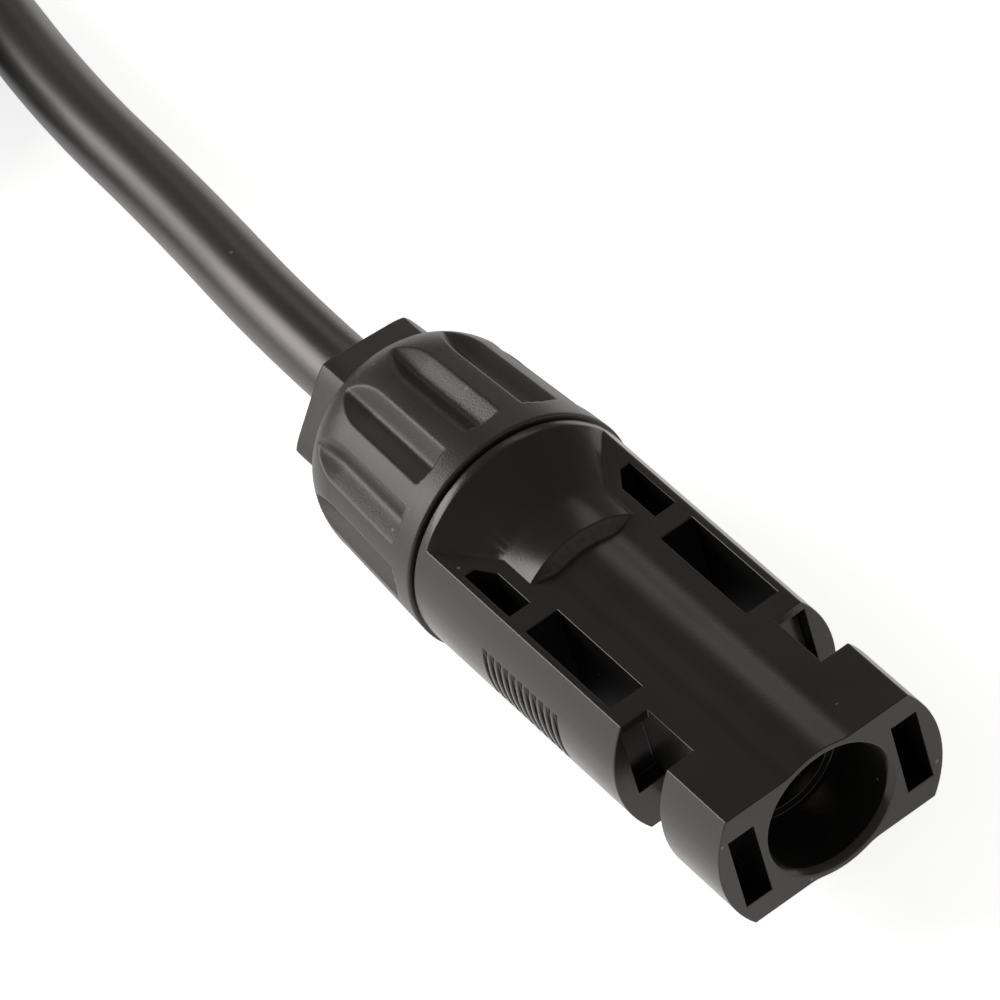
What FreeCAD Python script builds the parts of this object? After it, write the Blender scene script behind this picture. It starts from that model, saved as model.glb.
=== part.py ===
"""Solar cable connector: the open-mouthed, pin-carrying half of a PV coupler on its cable.

Frame: the origin is the centre of the mouth face, +X points out of the mouth along the
connector's axis, +Z is square to the two flats. Each sub-part is drawn in depth, which is
measured from the mouth face into the connector, and its Placement turns depth into -X.
"""

import FreeCAD, Part
import math
import os

import Sketcher

DIMENSIONS = {
    # Housing, outside
    "body_radius": 9.09,
    "flat_height": 5.12,
    "barrel_radius": 5.6,
    "valley_radius": 4.0,
    "neck_radius": 6.7,
    "neck_front": 26.5,
    "neck_back": 29.6,
    "step_run": 0.55,
    "cone_radius": 7.8,
    "cone_middle": 32.2,
    "flange_front": 34.3,
    "flange_back": 35.1,
    "wing_length": 34.7,
    # Mouth, slots, notches and windows
    "bore_radius": 4.8,
    "rim_radius": 5.16,
    "rim_depth": 0.53,
    "slot_inner": 5.69,
    "slot_outer": 7.78,
    "slot_height": 3.2,
    "notch_front": 6.55,
    "notch_back": 11.72,
    "notch_inner": 5.33,
    "recess_outer": 7.6,
    "recess_low": 1.4,
    "recess_high": 4.3,
    "recess_back": 13.0,
    "window_inner": 4.36,
    "window_outer": 6.99,
    "window_front": 13.62,
    "window_back": 23.33,
    "vent_inner": 5.28,
    "vent_front": 25.25,
    "vent_bevel": 29.0,
    "vent_back": 30.5,
    "vent_tip": 6.2,
    # Housing, inside
    "seat_depth": 6.0,
    "socket_radius": 4.15,
    "socket_step": 13.0,
    "socket_back_radius": 3.5,
    "socket_depth": 20.5,
    "shank_hole_radius": 2.4,
    "partition_back": 22.5,
    "chamber_radius": 3.4,
    "ledge_front": 28.0,
    "ledge_radius": 2.9,
    "ledge_back": 29.0,
    "cable_bore_radius": 3.2,
    "seal_seat_depth": 38.5,
    "seal_seat_radius": 3.95,
    "collet_seat_depth": 41.5,
    "collet_seat_radius": 5.3,
    # Threaded spigot behind the flange
    "spigot_back": 46.4,
    "thread_start": 37.0,
    "thread_crest": 6.75,
    "thread_root": 6.15,
    "thread_pitch": 1.5,
    "thread_rise": 0.45,
    "thread_flat": 0.25,
    # Finger grip on the two round sides
    "grip_front": 18.3,
    "grip_pitch": 0.82,
    "grip_width": 0.4,
    "grip_floor": 8.78,
    "grip_half_height": 2.1,
    # Gland nut
    "nut_front": 35.55,
    "nut_ring_radius": 9.35,
    "nut_ring_back": 36.9,
    "nut_lip_chamfer": 0.1,
    "nut_land_front": 9.28,
    "nut_land_back": 8.72,
    "shoulder_front": 46.0,
    "shoulder_back": 50.7,
    "shoulder_radius": 6.4,
    "shoulder_curve": 5.6,
    "nut_back": 53.2,
    "hex_front": 47.5,
    "hex_corner_radius": 7.0,
    "flute_front": 37.4,
    "flute_floor": 8.0,
    "flute_top": 9.6,
    "flute_floor_half": 0.8,
    "flute_top_half": 1.5,
    "nut_thread_radius": 6.85,
    "nut_thread_back": 46.9,
    "nut_chamber_radius": 5.75,
    "nut_chamber_back": 48.6,
    "nut_throat_radius": 3.7,
    "nut_throat_depth": 51.6,
    "nut_hole_radius": 3.1,
    "nut_blank_radius": 2.8,
    # Collet and seal
    "collet_front": 42.0,
    "collet_ring_back": 44.6,
    "collet_radius": 5.05,
    "collet_inner": 4.25,
    "collet_taper": 48.2,
    "collet_back": 50.6,
    "collet_tip_radius": 3.95,
    "collet_tip_inner": 3.15,
    "collet_half_gap": 0.4,
    "collet_gap_top": 6.0,
    "seal_front": 38.7,
    "seal_back": 47.4,
    "seal_radius": 3.85,
    "seal_groove_radius": 3.5,
    "seal_rib": 1.2,
    # Contact, clip and wire
    "pin_tip": 8.0,
    "pin_radius": 2.0,
    "pin_back": 20.0,
    "shank_radius": 2.3,
    "pin_nose": 1.6,
    "pin_nose_radius": 0.7,
    "pin_nose_curve": 2.2,
    "collar_front": 23.0,
    "collar_back": 24.2,
    "collar_radius": 2.8,
    "stem_radius": 2.3,
    "crimp_front": 28.8,
    "crimp_back": 35.0,
    "crimp_radius": 2.35,
    "crimp_inner": 1.36,
    "crimp_dent_radius": 2.05,
    "crimp_dent_front": 30.4,
    "crimp_dent_back": 33.4,
    "clip_front": 24.4,
    "clip_ring_back": 25.7,
    "clip_back": 27.8,
    "clip_inner": 2.36,
    "clip_wall": 0.28,
    "clip_flare": 3.0,
    "clip_half_gap": 0.6,
    "clip_gap_top": 4.0,
    "strand_front": 29.4,
    "strand_radius": 1.3,
    "core_front": 35.4,
    "core_inner": 1.33,
    "core_radius": 1.75,
    "jacket_front": 36.4,
    "jacket_inner": 1.78,
    "cable_radius": 2.75,
    "cable_leaves": 53.9,
    # Coil, ties and the stripped end of the cable
    "coil_corner": 2.4,
    "tie_width": 4.5,
    "tie_wall": 1.0,
    "tie_clearance": 0.1,
    "bare_core_length": 4.0,
    "ferrule_collar_length": 6.0,
    "ferrule_collar_radius": 2.6,
    "ferrule_collar_tip": 2.0,
    "ferrule_length": 10.0,
    "ferrule_radius": 1.45,
}

FLUTES = 12
COLLET_FINGERS = 8
CLIP_FINGERS = 3
GRIP_GROOVES = 11
SEAL_GROOVES = 3

# The cable's way from the gland to the coil, and from the coil to its stripped end.
CABLE_ROUTE = [
    (-53.9, 0.0, 0.0),
    (-63.5, -0.05, 0.0),
    (-100.0, 2.8, -4.0),
    (-119.0, 6.2, -6.6),
    (-135.5, 6.75, -5.5),
]
TAIL_ROUTE = [
    (-135.5, -53.75, 0.0),
    (-118.5, -53.6, -1.4),
    (-101.5, -51.4, -6.3),
    (-87.5, -46.6, -6.5),
]
COIL_CENTRE = FreeCAD.Vector(-135.5, -23.5, 0.0)
COIL_INNER_TURN = 24.75
COIL_OUTER_TURN = 30.25
COIL_LOW_LAYER = -5.5
COIL_HIGH_LAYER = 0.0
TIE_ANGLES = (35.0, 155.0, 240.0)
NUT_CLOCKING = -4.0
ARC_SHARE = 0.45

doc = FreeCAD.newDocument("SolarCableConnector")
sheet = doc.addObject("Spreadsheet::Sheet", "Dimensions")
for row, (name, value) in enumerate(DIMENSIONS.items(), start=1):
    sheet.set(f"A{row}", name)
    sheet.set(f"B{row}", str(value))
    sheet.setAlias(f"B{row}", name)
doc.recompute()

TO_DEPTH = FreeCAD.Placement(
    FreeCAD.Vector(0, 0, 0), FreeCAD.Rotation(FreeCAD.Vector(0, 0, 1), 180)
)


def words(terms):
    """The words of a sum, with its leading plus left out."""
    found = terms.split()
    return found[1:] if found[0] == "+" else found


def size(terms):
    """The value of a sum such as "pin_tip + pin_nose", read from the sheet."""
    total, sign = 0.0, 1.0
    for word in words(terms):
        if word in "+-":
            sign = 1.0 if word == "+" else -1.0
        else:
            total += sign * sheet.get(word)
    return total


def bound(terms):
    """The same sum as an expression on the sheet's cells."""
    return " ".join(w if w in "+-" else f"Dimensions.{w}" for w in words(terms))


def negated(terms):
    found = words(terms)
    if found[0] != "-":
        found.insert(0, "+")
    return " ".join({"+": "-", "-": "+"}.get(w, w) for w in found)


def new_body(label, placement=TO_DEPTH):
    body = doc.addObject("PartDesign::Body", label)
    body.Label = label
    body.Placement = placement
    return body


def new_sketch(body, plane, name, away="0"):
    """A sketch on one of the body's own origin planes, or a distance in front of it."""
    sketch = body.newObject("Sketcher::SketchObject", name)
    face = next(f for f in body.Origin.OriginFeatures if f.Role == plane)
    sketch.AttachmentSupport = [(face, "")]
    sketch.MapMode = "FlatFace"
    if away != "0":
        sketch.setExpression("AttachmentOffset.Base.z", bound(away))
    doc.recompute()
    return sketch


def pin_down(sketch, line, point, axis, terms):
    """Ties one end of a line to the sheet along one axis; "0" puts it on the other axis."""
    if terms == "0":
        onto = -2 if axis == "X" else -1
        sketch.addConstraint(Sketcher.Constraint("PointOnObject", line, point, onto))
        return
    kind = "DistanceX" if axis == "X" else "DistanceY"
    if size(terms) < 0:
        ends, terms = (line, point, -1, 1), negated(terms)
    else:
        ends = (-1, 1, line, point)
    number = sketch.addConstraint(Sketcher.Constraint(kind, *ends, size(terms)))
    sketch.setExpression(f"Constraints[{number}]", bound(terms))


def bulge(start, end, radius):
    """The middle point of the short arc of that radius, to the left of start to end."""
    chord = end - start
    rise = radius - math.sqrt(radius**2 - (chord.Length / 2) ** 2)
    left = FreeCAD.Vector(-chord.y, chord.x, 0).normalize()
    return (start + end) * 0.5 + left * rise


def outline(sketch, corners):
    """A closed outline of (x, y) corners, given as sums of sheet names. A third name is the
    radius of an arc that reaches the corner from the one before it."""
    places = [
        FreeCAD.Vector(*(0 if c == "0" else size(c) for c in corner[:2]), 0)
        for corner in corners
    ]
    count, pieces = len(corners), []
    for k in range(count):
        start, end, following = places[k], places[(k + 1) % count], corners[(k + 1) % count]
        if len(following) == 3:
            middle = bulge(start, end, size(following[2]))
            number = sketch.addGeometry(Part.Arc(start, middle, end))
            first = 1 if (sketch.getPoint(number, 1) - start).Length < 1e-6 else 2
            pieces.append((number, first, 3 - first))
        else:
            pieces.append((sketch.addGeometry(Part.LineSegment(start, end)), 1, 2))
    for k, (number, first, last) in enumerate(pieces):
        after = pieces[(k + 1) % count]
        sketch.addConstraint(
            Sketcher.Constraint("Coincident", number, last, after[0], after[1])
        )
        pin_down(sketch, number, first, "X", corners[k][0])
        pin_down(sketch, number, first, "Y", corners[k][1])
        following = corners[(k + 1) % count]
        if len(following) == 3:
            radius = sketch.addConstraint(
                Sketcher.Constraint("Radius", number, size(following[2]))
            )
            sketch.setExpression(f"Constraints[{radius}]", bound(following[2]))


def rectangle(left, right, low, high):
    return [(left, low), (right, low), (right, high), (left, high)]


def mirrored(corners):
    """The same corners on the other side of the connector's axis."""
    return [(x, negated(y)) for x, y in corners]


def turned(body, name, corners, kind="PartDesign::Revolution"):
    """Turns an outline of (depth, radius) corners about the connector's axis."""
    sketch = new_sketch(body, "XY_Plane", name + "_outline")
    outline(sketch, corners)
    feature = body.newObject(kind, name)
    feature.Profile = sketch
    feature.ReferenceAxis = (sketch, ["H_Axis"])
    feature.Angle = 360
    body.Tip = feature
    doc.recompute()
    return feature


def tube(body, name, front, back, inner, outer):
    return turned(body, name, rectangle(front, back, inner, outer))


def pocket(body, name, plane, shapes, depth=None, away="0", toward=False):
    """Cuts outlines drawn on a plane: both ways through everything, or to one side of it."""
    before = body.Tip.Shape.Volume
    sketch = new_sketch(body, plane, name + "_outline", away)
    for corners in shapes:
        outline(sketch, corners)
    cut = body.newObject("PartDesign::Pocket", name)
    cut.Profile = sketch
    cut.Reversed = toward
    if depth is None:
        cut.Type = "ThroughAll"
        cut.SideType = "Symmetric" if away == "0" else "One side"
    else:
        cut.Type = "Length"
        cut.setExpression("Length", bound(depth))
    body.Tip = cut
    doc.recompute()
    if not cut.Shape.Volume < before - 1e-6:
        raise RuntimeError(f"{body.Label}: {name} cuts nothing")
    return cut


def round_pattern(body, name, feature, count):
    """Repeats a cut evenly round the connector's axis."""
    pattern = body.newObject("PartDesign::PolarPattern", name)
    pattern.Originals = [feature]
    axis = next(f for f in body.Origin.OriginFeatures if f.Role == "X_Axis")
    pattern.Axis = (axis, [""])
    pattern.Angle = 360
    pattern.Occurrences = count
    body.Tip = pattern
    doc.recompute()
    return pattern


def draw_wing(sketch):
    """The winged body's outline: a circle with two flats, and on each flat the barrel's back
    standing a little proud, with a hollow arc on either side where it runs into the flat."""
    radius, high = size("body_radius"), size("flat_height")
    barrel, valley = size("barrel_radius"), size("valley_radius")
    wide, half = math.sqrt(radius**2 - high**2), math.asin(high / radius)
    aside = math.sqrt((barrel + valley) ** 2 - (high + valley) ** 2)
    lean = math.atan2(aside, high + valley)
    upright = math.pi / 2

    def point(x, y):
        return FreeCAD.Vector(x, y, 0)

    def arc(centre, around, start, end):
        circle = Part.Circle(centre, FreeCAD.Vector(0, 0, 1), around)
        return sketch.addGeometry(Part.ArcOfCircle(circle, start, end))

    def line(start, end):
        return sketch.addGeometry(Part.LineSegment(start, end))

    ends = []
    for side in (1, -1):
        turn = 0 if side == 1 else math.pi
        level = side * high
        above = side * (high + valley)
        ends.append((arc(point(0, 0), radius, turn - half, turn + half), 1, 2))
        ends.append((line(point(side * wide, level), point(side * aside, level)), 1, 2))
        hollow = turn - upright
        ends.append((arc(point(side * aside, above), valley, hollow - lean, hollow), 2, 1))
        crown = turn + upright
        ends.append((arc(point(0, 0), barrel, crown - lean, crown + lean), 1, 2))
        ends.append((arc(point(-side * aside, above), valley, hollow, hollow + lean), 2, 1))
        ends.append((line(point(-side * aside, level), point(-side * wide, level)), 1, 2))
    for k, (piece, _, last) in enumerate(ends):
        following, first, _ = ends[(k + 1) % len(ends)]
        kind = "Coincident" if k % 6 in (0, 5) else "Tangent"
        sketch.addConstraint(Sketcher.Constraint(kind, piece, last, following, first))
    for k, (piece, first, _) in enumerate(ends):
        if k % 6 in (0, 3):
            sketch.addConstraint(Sketcher.Constraint("Coincident", piece, 3, -1, 1))
        if k % 6 in (1, 5):
            sketch.addConstraint(Sketcher.Constraint("Horizontal", piece))
        if k % 6 == 1:
            level = "flat_height" if k < 6 else "- flat_height"
            pin_down(sketch, piece, first, "Y", level)
    for piece, name in ((0, "body_radius"), (3, "barrel_radius"), (2, "valley_radius")):
        for side in (0, 6):
            number = sketch.addConstraint(
                Sketcher.Constraint("Radius", ends[piece + side][0], size(name))
            )
            sketch.setExpression(f"Constraints[{number}]", bound(name))
    for hollow in (4, 10):
        number = sketch.addConstraint(Sketcher.Constraint("Radius", ends[hollow][0], valley))
        sketch.setExpression(f"Constraints[{number}]", bound("valley_radius"))


def make_housing():
    """The moulded shell: winged body with flats, barrel, neck, flange and threaded spigot."""
    body = new_body("housing")
    wing = new_sketch(body, "YZ_Plane", "wing_outline")
    draw_wing(wing)
    pad = body.newObject("PartDesign::Pad", "wing")
    pad.Profile = wing
    pad.setExpression("Length", bound("wing_length"))
    body.Tip = pad
    doc.recompute()
    # Barrel, neck, concave cone, flange and the threaded spigot are one turned shape.
    profile = [
        ("0", "0"),
        ("0", "barrel_radius"),
        ("neck_front - step_run", "barrel_radius"),
        ("neck_front", "neck_radius"),
        ("neck_back", "neck_radius"),
        ("cone_middle", "cone_radius"),
        ("flange_front", "body_radius"),
        ("flange_back", "body_radius"),
        ("flange_back", "thread_root"),
    ]
    row = "thread_start"
    while size(row) < size("spigot_back - thread_pitch"):
        crest = row + " + thread_rise"
        profile += [
            (row, "thread_root"),
            (crest, "thread_crest"),
            (crest + " + thread_flat", "thread_crest"),
            (crest + " + thread_flat + thread_rise", "thread_root"),
        ]
        row += " + thread_pitch"
    profile += [("spigot_back", "thread_root"), ("spigot_back", "0")]
    turned(body, "barrel_and_flange", profile)
    # Windows, vents and side notches go right through between the flats.
    window = rectangle("window_front", "window_back", "window_inner", "window_outer")
    notch = rectangle("notch_front", "notch_back", "notch_inner", "nut_ring_radius")
    vent = [
        ("vent_front", "vent_inner"),
        ("vent_bevel", "vent_inner"),
        ("vent_back", "vent_tip"),
        ("vent_back", "window_outer"),
        ("vent_front", "window_outer"),
    ]
    for shape, name in ((window, "windows"), (notch, "side_notches"), (vent, "vents")):
        pocket(body, name, "XY_Plane", [shape, mirrored(shape)])
    # Slots for the mating half's latch arms, and a blind recess behind each notch that takes
    # the arm's hook.
    high = "slot_height"
    slot = rectangle("slot_inner", "slot_outer", negated(high), high)
    recess = rectangle("notch_inner", "recess_outer", "- recess_low", "recess_high")
    for shape, name, front, depth in (
        (slot, "arm_slots", "0", "notch_front"),
        (recess, "arm_recesses", "notch_front", "recess_back - notch_front"),
    ):
        other = [(negated(x), y) for x, y in shape]
        pocket(body, name, "YZ_Plane", [shape, other], depth, front, toward=True)
    # The bore steps down from the mouth to the partition, and opens towards the gland.
    turned(
        body,
        "bore",
        [
            ("0", "0"),
            ("0", "rim_radius"),
            ("rim_depth", "bore_radius"),
            ("seat_depth", "bore_radius"),
            ("seat_depth", "socket_radius"),
            ("socket_step", "socket_radius"),
            ("socket_step", "socket_back_radius"),
            ("socket_depth", "socket_back_radius"),
            ("socket_depth", "shank_hole_radius"),
            ("partition_back", "shank_hole_radius"),
            ("partition_back", "chamber_radius"),
            ("ledge_front", "chamber_radius"),
            ("ledge_front", "ledge_radius"),
            ("ledge_back", "ledge_radius"),
            ("ledge_back", "cable_bore_radius"),
            ("seal_seat_depth", "cable_bore_radius"),
            ("seal_seat_depth", "seal_seat_radius"),
            ("collet_seat_depth", "seal_seat_radius"),
            ("collet_seat_depth", "collet_seat_radius"),
            ("spigot_back", "collet_seat_radius"),
            ("spigot_back", "0"),
        ],
        "PartDesign::Groove",
    )
    # Upright finger grooves across the two round sides.
    reach = "grip_half_height"
    grooves = []
    for k in range(GRIP_GROOVES):
        front = " + ".join(["grip_front"] + ["grip_pitch"] * k)
        grooves.append(rectangle(front, front + " + grip_width", negated(reach), reach))
    pocket(body, "grip_left", "XZ_Plane", grooves, away="grip_floor", toward=True)
    pocket(body, "grip_right", "XZ_Plane", grooves, away="- grip_floor")
    return body


def make_gland_nut():
    """The fluted sleeve nut, with a domed shoulder and a six-sided rear end."""
    clocking = FreeCAD.Placement(
        FreeCAD.Vector(0, 0, 0), FreeCAD.Rotation(FreeCAD.Vector(1, 0, 0), NUT_CLOCKING)
    )
    body = new_body("gland_nut", clocking.multiply(TO_DEPTH))
    turned(
        body,
        "sleeve",
        [
            ("nut_front", "nut_blank_radius"),
            ("nut_front", "nut_ring_radius - nut_lip_chamfer"),
            ("nut_front + nut_lip_chamfer", "nut_ring_radius"),
            ("nut_ring_back", "nut_ring_radius"),
            ("flute_front", "nut_land_front"),
            ("shoulder_front", "nut_land_back"),
            ("shoulder_back", "shoulder_radius", "shoulder_curve"),
            ("shoulder_back", "nut_blank_radius"),
        ],
    )
    end = body.newObject("PartDesign::AdditivePrism", "hexagon")
    end.AttachmentSupport = [
        (next(f for f in body.Origin.OriginFeatures if f.Role == "YZ_Plane"), "")
    ]
    end.MapMode = "FlatFace"
    end.setExpression("AttachmentOffset.Base.z", bound("hex_front"))
    end.Polygon = 6
    end.setExpression("Circumradius", bound("hex_corner_radius"))
    end.setExpression("Height", bound("nut_back - hex_front"))
    body.Tip = end
    doc.recompute()
    turned(
        body,
        "inside",
        [
            ("nut_front", "0"),
            ("nut_front", "nut_thread_radius"),
            ("nut_thread_back", "nut_thread_radius"),
            ("nut_thread_back", "nut_chamber_radius"),
            ("nut_chamber_back", "nut_chamber_radius"),
            ("nut_throat_depth", "nut_throat_radius"),
            ("nut_throat_depth", "nut_hole_radius"),
            ("nut_back", "nut_hole_radius"),
            ("nut_back", "0"),
        ],
        "PartDesign::Groove",
    )
    flute = [
        ("- flute_floor_half", "flute_floor"),
        ("flute_floor_half", "flute_floor"),
        ("flute_top_half", "flute_top"),
        ("- flute_top_half", "flute_top"),
    ]
    cut = pocket(body, "flute", "YZ_Plane", [flute], away="flute_front", toward=True)
    round_pattern(body, "flutes", cut, FLUTES)
    return body


def make_collet():
    """The clamping sleeve: a ring with sprung fingers that the nut's cone presses inwards."""
    body = new_body("clamping_collet")
    turned(
        body,
        "sleeve",
        [
            ("collet_front", "collet_inner"),
            ("collet_front", "collet_radius"),
            ("collet_taper", "collet_radius"),
            ("collet_back", "collet_tip_radius"),
            ("collet_back", "collet_tip_inner"),
            ("collet_taper", "collet_inner"),
        ],
    )
    gap = rectangle("- collet_half_gap", "collet_half_gap", "cable_radius", "collet_gap_top")
    cut = pocket(
        body, "gap", "YZ_Plane", [gap], away="collet_ring_back", toward=True
    )
    round_pattern(body, "gaps", cut, COLLET_FINGERS)
    return body


def make_seal():
    """The rubber gland seal, with grooves round it."""
    body = new_body("gland_seal")
    profile = [("seal_front", "cable_radius"), ("seal_front", "seal_radius")]
    row = "seal_front + seal_rib"
    for _ in range(SEAL_GROOVES):
        profile += [
            (row, "seal_radius"),
            (row, "seal_groove_radius"),
            (row + " + seal_rib", "seal_groove_radius"),
            (row + " + seal_rib", "seal_radius"),
        ]
        row += " + seal_rib + seal_rib"
    profile += [("seal_back", "seal_radius"), ("seal_back", "cable_radius")]
    turned(body, "grommet", profile)
    return body


def make_contact():
    """The round contact: nose, shank, collar, stem and a crimp barrel with its dent."""
    body = new_body("contact_pin")
    turned(
        body,
        "contact",
        [
            ("pin_tip", "0"),
            ("pin_tip", "pin_nose_radius"),
            ("pin_tip + pin_nose", "pin_radius", "pin_nose_curve"),
            ("pin_back", "pin_radius"),
            ("pin_back", "shank_radius"),
            ("collar_front", "shank_radius"),
            ("collar_front", "collar_radius"),
            ("collar_back", "collar_radius"),
            ("collar_back", "stem_radius"),
            ("crimp_front", "stem_radius"),
            ("crimp_front", "crimp_radius"),
            ("crimp_dent_front", "crimp_radius"),
            ("crimp_dent_front", "crimp_dent_radius"),
            ("crimp_dent_back", "crimp_dent_radius"),
            ("crimp_dent_back", "crimp_radius"),
            ("crimp_back", "crimp_radius"),
            ("crimp_back", "crimp_inner"),
            ("strand_front", "crimp_inner"),
            ("strand_front", "0"),
        ],
    )
    return body


def make_clip():
    """The sprung metal clip: a ring on the contact's stem with fingers that flare backwards."""
    body = new_body("retaining_clip")
    turned(
        body,
        "clip",
        [
            ("clip_front", "clip_inner"),
            ("clip_front", "clip_inner + clip_wall"),
            ("clip_ring_back", "clip_inner + clip_wall"),
            ("clip_back", "clip_flare + clip_wall"),
            ("clip_back", "clip_flare"),
            ("clip_ring_back", "clip_inner"),
        ],
    )
    gap = rectangle("- clip_half_gap", "clip_half_gap", "pin_radius", "clip_gap_top")
    cut = pocket(body, "gap", "YZ_Plane", [gap], away="clip_ring_back", toward=True)
    round_pattern(body, "gaps", cut, CLIP_FINGERS)
    return body


def make_cable_end():
    """The cable's layers where they are stripped back inside the connector."""
    strands = new_body("conductor_strands")
    turned(
        strands, "strands", rectangle("strand_front", "cable_leaves", "0", "strand_radius")
    )
    core = new_body("core_insulation")
    tube(core, "core", "core_front", "cable_leaves", "core_inner", "core_radius")
    jacket = new_body("cable_jacket_end")
    tube(jacket, "jacket", "jacket_front", "cable_leaves", "jacket_inner", "cable_radius")
    return [strands, core, jacket]


def rounded_route(points):
    """A wire of straight runs joined by tangent arcs, and the arcs' radii."""
    places = [FreeCAD.Vector(*p) for p in points]
    edges, radii, start = [], [], places[0]
    for before, corner, after in zip(places, places[1:], places[2:]):
        into, away = (corner - before), (after - corner)
        reach = ARC_SHARE * min(into.Length, away.Length)
        turn = into.getAngle(away)
        begin = corner - into.normalize() * reach
        end = corner + away.normalize() * reach
        radius = reach / math.tan(turn / 2)
        sideways = (begin + end) * 0.5 - corner
        rise = radius / math.cos(turn / 2) - radius
        edges.append(Part.LineSegment(start, begin).toShape())
        edges.append(Part.Arc(begin, corner + sideways.normalize() * rise, end).toShape())
        radii.append(radius)
        start = end
    edges.append(Part.LineSegment(start, places[-1]).toShape())
    return Part.Wire(edges), radii


def add_feature(label, shape):
    feature = doc.addObject("Part::Feature", label)
    feature.Label = label
    feature.Shape = shape
    feature.Placement = shape.Placement
    return feature


def make_cable_tube(label, points, coil):
    """A tube along a free stretch of cable, trimmed where it joins the coil."""
    wire, radii = rounded_route(points)
    along = FreeCAD.Vector(*points[1]) - FreeCAD.Vector(*points[0])
    ring = Part.Wire(
        [Part.makeCircle(size("cable_radius"), FreeCAD.Vector(*points[0]), along)]
    )
    whole = wire.makePipeShell([ring], True, False)
    expected = math.pi * size("cable_radius") ** 2 * wire.Length
    print(label, "arc radii", [round(r, 1) for r in radii], "mm, length", round(wire.Length, 1))
    print(label, "volume", round(whole.Volume, 1), "of", round(expected, 1))
    if abs(whole.Volume - expected) > 0.01 * expected:
        raise RuntimeError(f"{label}: the tube's volume is wrong")
    rest = whole.cut(coil)
    return add_feature(label, max(rest.Solids, key=lambda s: s.Volume))


def rounded_section(inner, outer, low, high, corner):
    """A face in the XZ plane with rounded corners, from inner to outer and low to high."""
    def place(x, z):
        return FreeCAD.Vector(x, 0, z)

    slant = corner * (1 - math.sqrt(0.5))
    edges = [
        Part.LineSegment(place(inner + corner, low), place(outer - corner, low)),
        Part.Arc(
            place(outer - corner, low), place(outer - slant, low + slant), place(outer, low + corner)
        ),
        Part.LineSegment(place(outer, low + corner), place(outer, high - corner)),
        Part.Arc(
            place(outer, high - corner),
            place(outer - slant, high - slant),
            place(outer - corner, high),
        ),
        Part.LineSegment(place(outer - corner, high), place(inner + corner, high)),
        Part.Arc(
            place(inner + corner, high),
            place(inner + slant, high - slant),
            place(inner, high - corner),
        ),
        Part.LineSegment(place(inner, high - corner), place(inner, low + corner)),
        Part.Arc(
            place(inner, low + corner), place(inner + slant, low + slant), place(inner + corner, low)
        ),
    ]
    return Part.Face(Part.Wire([edge.toShape() for edge in edges]))


def make_coil():
    """The outer shape of the coiled cable: a ring, two turns wide and two turns high."""
    cable = size("cable_radius")
    section = rounded_section(
        COIL_INNER_TURN - cable,
        COIL_OUTER_TURN + cable,
        COIL_LOW_LAYER - cable,
        COIL_HIGH_LAYER + cable,
        size("coil_corner"),
    )
    ring = section.revolve(FreeCAD.Vector(0, 0, 0), FreeCAD.Vector(0, 0, 1), 360)
    ring.translate(COIL_CENTRE)
    return Part.makeSolid(ring.Shells[0]) if ring.ShapeType != "Solid" else ring


def make_tie(number, angle):
    """A hook-and-loop tie round the coil's section."""
    cable, wall, clear = size("cable_radius"), size("tie_wall"), size("tie_clearance")
    inner, outer = COIL_INNER_TURN - cable - clear, COIL_OUTER_TURN + cable + clear
    low, high = COIL_LOW_LAYER - cable - clear, COIL_HIGH_LAYER + cable + clear
    corner = size("coil_corner")
    width = FreeCAD.Vector(0, size("tie_width"), 0)
    outside = rounded_section(
        inner - wall, outer + wall, low - wall, high + wall, corner + wall
    ).extrude(width)
    inside = rounded_section(inner, outer, low, high, corner).extrude(width)
    band = outside.cut(inside)
    band.translate(width * -0.5)
    band.rotate(FreeCAD.Vector(0, 0, 0), FreeCAD.Vector(0, 0, 1), angle)
    band.translate(COIL_CENTRE)
    return add_feature(f"coil_tie_{number}", band.Solids[0])


def make_stripped_end():
    """The bared core and the bootlace ferrule on the cable's other end."""
    before, end = (FreeCAD.Vector(*p) for p in TAIL_ROUTE[-2:])
    along = (end - before).normalize()
    core = Part.makeCylinder(
        size("core_radius"), size("bare_core_length"), end, along
    )
    collar_at = end + along * size("bare_core_length")
    collar = Part.makeCone(
        size("ferrule_collar_radius"),
        size("ferrule_collar_tip"),
        size("ferrule_collar_length"),
        collar_at,
        along,
    )
    sleeve_at = collar_at + along * size("ferrule_collar_length")
    sleeve = Part.makeCylinder(
        size("ferrule_radius"), size("ferrule_length"), sleeve_at, along
    )
    return [
        add_feature("end_core", core),
        add_feature("ferrule_collar", collar),
        add_feature("ferrule_sleeve", sleeve),
    ]


nodes = [
    make_housing(),
    make_gland_nut(),
    make_collet(),
    make_seal(),
    make_contact(),
    make_clip(),
    *make_cable_end(),
]
coil_shape = make_coil()
nodes.append(add_feature("cable_coil", coil_shape))
nodes.append(make_cable_tube("cable_run", CABLE_ROUTE, coil_shape))
nodes.append(make_cable_tube("cable_tail", TAIL_ROUTE, coil_shape))
nodes += [make_tie(k, angle) for k, angle in enumerate(TIE_ANGLES, start=1)]
nodes += make_stripped_end()

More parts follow.
